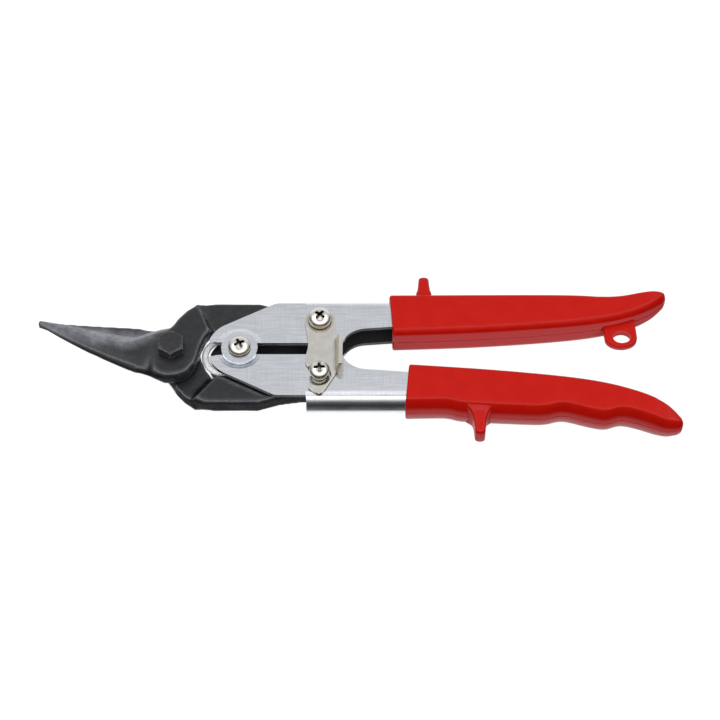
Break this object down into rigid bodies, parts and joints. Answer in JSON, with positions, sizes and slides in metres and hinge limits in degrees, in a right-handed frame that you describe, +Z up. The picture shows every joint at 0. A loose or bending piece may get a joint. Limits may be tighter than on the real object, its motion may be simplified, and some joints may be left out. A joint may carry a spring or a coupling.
{
  "type": "aviation snips",
  "caption": "Compound-lever hand shears for sheet metal: black forged blades, plated stamped handles with a hook latch, and red moulded grips with a hang tab.",
  "frame": {"origin": "middle of the tool's box in plan, at its lowest point", "axes": "+X from the jaws to the grips, +Y across the tool towards the upper handle, +Z up along the pivot axes"},
  "size_m": [0.258, 0.0744, 0.0248],
  "materials": {
    "black_forged_steel": "black oxide on forged steel, satin",
    "black_hardware": "black oxide, satin",
    "plated_sheet": "bright plating over brushed sheet steel",
    "nickel_plate": "nickel plated, slightly warm",
    "spring_wire": "bright spring steel wire",
    "red_sleeve": "soft red plastic, satin gloss"
  },
  "bodies": {
    "upper_handle": {"upper_handle": "plated_sheet", "upper_grip": "red_sleeve", "pivot_screw": "nickel_plate", "pivot_bush": "plated_sheet", "pivot_nut": "nickel_plate", "return_spring": "spring_wire", "latch_washer": "nickel_plate", "upper_tang_screw": "nickel_plate", "upper_tang_bush": "plated_sheet", "upper_tang_nut": "nickel_plate"},
    "lower_handle": {"lower_handle": "plated_sheet", "lower_grip": "red_sleeve", "lower_tang_screw": "nickel_plate", "lower_tang_bush": "plated_sheet", "lower_tang_nut": "nickel_plate", "catch_collar": "nickel_plate"},
    "upper_blade": {"upper_blade": "black_forged_steel", "blade_bolt": "black_hardware", "blade_nut": "black_hardware"},
    "lower_blade": {"lower_blade": "black_forged_steel"},
    "latch": {"latch": "nickel_plate"}
  },
  "joints": [
    {"name": "handle_open", "type": "hinge", "parent": "upper_handle", "child": "lower_handle", "pos_m": [-0.04694, 0.0006, 0.0123], "axis": [0, 0, -1], "range_deg": [0, 34], "deforming": ["return_spring"]},
    {"name": "upper_blade_pivot", "type": "hinge", "parent": "upper_handle", "child": "upper_blade", "pos_m": [-0.01484, 0.013, 0.0123], "axis": [0, 0, -1], "range_deg": [0, 8.3]},
    {"name": "lower_blade_pivot", "type": "hinge", "parent": "lower_handle", "child": "lower_blade", "pos_m": [-0.01484, -0.0118, 0.0123], "axis": [0, 0, 1], "range_deg": [0, 8.3]},
    {"name": "latch_swing", "type": "hinge", "parent": "upper_handle", "child": "latch", "pos_m": [-0.01484, 0.013, 0.0123], "axis": [0, 0, 1], "range_deg": [0, 51.5]}
  ],
  "couplings": [
    {"joint": "upper_blade_pivot", "follows": "handle_open", "ratio": 0.2415},
    {"joint": "lower_blade_pivot", "follows": "handle_open", "ratio": 0.2415},
    {"joint": "latch_swing", "follows": "handle_open", "ratio": 1.5}
  ]
}
